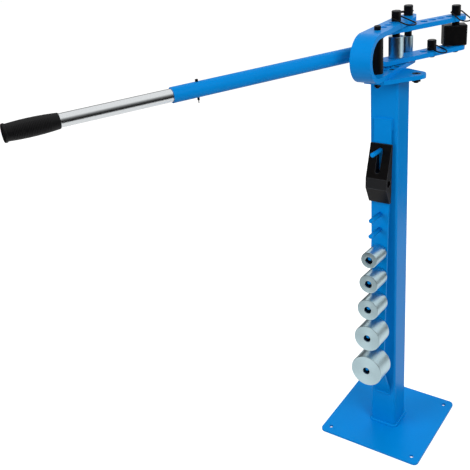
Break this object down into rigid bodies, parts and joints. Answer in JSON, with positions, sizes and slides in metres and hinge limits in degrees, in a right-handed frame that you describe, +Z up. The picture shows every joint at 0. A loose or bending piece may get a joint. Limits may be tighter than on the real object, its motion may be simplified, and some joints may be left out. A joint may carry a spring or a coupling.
{
  "type": "universal bender",
  "caption": "Hand-lever bender for flat bar, rod and tube, on a square floor column with two nested U brackets, pinned round dies and a die rack.",
  "frame": {"origin": "middle of the base plate's underside, on the floor", "axes": "+Z up along the column, -Y towards the die rack on the column's front, +X to the right of it"},
  "size_m": [0.5345, 0.9101, 1.044],
  "materials": {
    "blue_paint": "blue powder coat, half gloss",
    "black_steel": "black oxide",
    "turned_steel": "turned and lightly oiled",
    "zinc_tube": "bright zinc plate",
    "rubber_grip": "matt, ribbed"
  },
  "bodies": {
    "stand": {"base_plate": "blue_paint", "column_tube": "blue_paint", "foot_weld": "blue_paint", "head_plate": "blue_paint", "fixed_bracket": "blue_paint", "bracket_screws": "black_steel", "stop_sleeve": "black_steel", "stop_bolt": "black_steel", "stop_washer": "black_steel", "stop_nut": "black_steel", "lug_screw": "black_steel", "lug_nut": "black_steel", "thrust_washers": "black_steel", "rack_bar": "blue_paint", "rack_pegs": "blue_paint"},
    "lever": {"moving_bracket": "blue_paint", "lever_socket": "blue_paint", "handle_tube": "zinc_tube", "handle_grip": "rubber_grip"},
    "lock_pin": {"lock_pin": "black_steel"},
    "pivot_die": {"pivot_die": "turned_steel"},
    "side_die": {"side_die": "turned_steel"},
    "follower_block": {"follower_block": "black_steel"},
    "angle_block": {"angle_block": "black_steel"},
    "stored_die_38": {"stored_die_38": "turned_steel"},
    "stored_die_44": {"stored_die_44": "turned_steel"},
    "stored_die_51": {"stored_die_51": "turned_steel"},
    "stored_die_64": {"stored_die_64": "turned_steel"},
    "stored_die_76": {"stored_die_76": "turned_steel"},
    "pivot_pin": {"pivot_pin": "black_steel"},
    "pivot_pin_bail": {"pivot_pin_bail": "black_steel"},
    "die_pin": {"die_pin": "black_steel"},
    "die_pin_bail": {"die_pin_bail": "black_steel"},
    "follower_pin": {"follower_pin": "black_steel"},
    "follower_pin_bail": {"follower_pin_bail": "black_steel"},
    "work_pin": {"work_pin": "black_steel"},
    "work_pin_bail": {"work_pin_bail": "black_steel"}
  },
  "joints": [
    {"name": "lever_swing", "type": "hinge", "parent": "stand", "child": "lever", "pos_m": [0, 0.03, 0.9725], "axis": [0, 0, -1], "range_deg": [0, 120]},
    {"name": "lock_pin_lift", "type": "slide", "parent": "lever", "child": "lock_pin", "axis": [-0.007, -0.0131, 0.9999], "range_m": [0, 0.0405]},
    {"name": "pivot_die_turn", "type": "hinge", "parent": "lever", "child": "pivot_die", "pos_m": [0, 0.03, 0.96775], "axis": [0, 0, 1], "continuous": true},
    {"name": "side_die_turn", "type": "hinge", "parent": "stand", "child": "side_die", "pos_m": [0, 0.095, 0.95575], "axis": [0, 0, 1], "continuous": true},
    {"name": "follower_block_turn", "type": "hinge", "parent": "lever", "child": "follower_block", "pos_m": [0.07722, 0.17525, 0.96775], "axis": [0, 0, 1], "continuous": true},
    {"name": "angle_block_slide", "type": "slide", "parent": "stand", "child": "angle_block", "axis": [0, -0.9981, 0.0621], "range_m": [0, 0.049]},
    {"name": "stored_die_38_slide", "type": "slide", "parent": "stand", "child": "stored_die_38", "axis": [0, -0.9981, 0.0621], "range_m": [0, 0.049]},
    {"name": "stored_die_44_slide", "type": "slide", "parent": "stand", "child": "stored_die_44", "axis": [0, -0.9981, 0.0621], "range_m": [0, 0.049]},
    {"name": "stored_die_51_slide", "type": "slide", "parent": "stand", "child": "stored_die_51", "axis": [0, -0.9981, 0.0621], "range_m": [0, 0.049]},
    {"name": "stored_die_64_slide", "type": "slide", "parent": "stand", "child": "stored_die_64", "axis": [0, -0.9981, 0.0621], "range_m": [0, 0.049]},
    {"name": "stored_die_76_slide", "type": "slide", "parent": "stand", "child": "stored_die_76", "axis": [0, -0.9981, 0.0621], "range_m": [0, 0.049]},
    {"name": "pivot_pin_lift", "type": "slide", "parent": "stand", "child": "pivot_pin", "axis": [0, 0, 1], "range_m": [0, 0.1]},
    {"name": "pivot_pin_bail_swing", "type": "hinge", "parent": "pivot_pin", "child": "pivot_pin_bail", "pos_m": [0, 0.03, 1.03], "axis": [-0.4226, -0.9063, 0], "range_deg": [0, 190]},
    {"name": "die_pin_lift", "type": "slide", "parent": "stand", "child": "die_pin", "axis": [0, 0, 1], "range_m": [0, 0.1]},
    {"name": "die_pin_bail_swing", "type": "hinge", "parent": "die_pin", "child": "die_pin_bail", "pos_m": [0, 0.095, 1.03], "axis": [0.5736, 0.8192, 0], "range_deg": [0, 190]},
    {"name": "follower_pin_lift", "type": "slide", "parent": "lever", "child": "follower_pin", "axis": [0, 0, 1], "range_m": [0, 0.08]},
    {"name": "follower_pin_bail_swing", "type": "hinge", "parent": "follower_pin", "child": "follower_pin_bail", "pos_m": [0.07722, 0.17525, 1.018], "axis": [-0.6946, -0.7194, 0], "range_deg": [0, 200]},
    {"name": "work_pin_lift", "type": "slide", "parent": "lever", "child": "work_pin", "axis": [0, 0, 1], "range_m": [0, 0.014]},
    {"name": "work_pin_bail_swing", "type": "hinge", "parent": "work_pin", "child": "work_pin_bail", "pos_m": [0.04605, 0.11662, 0.953], "axis": [-0.309, -0.9511, 0], "range_deg": [0, 200]}
  ]
}
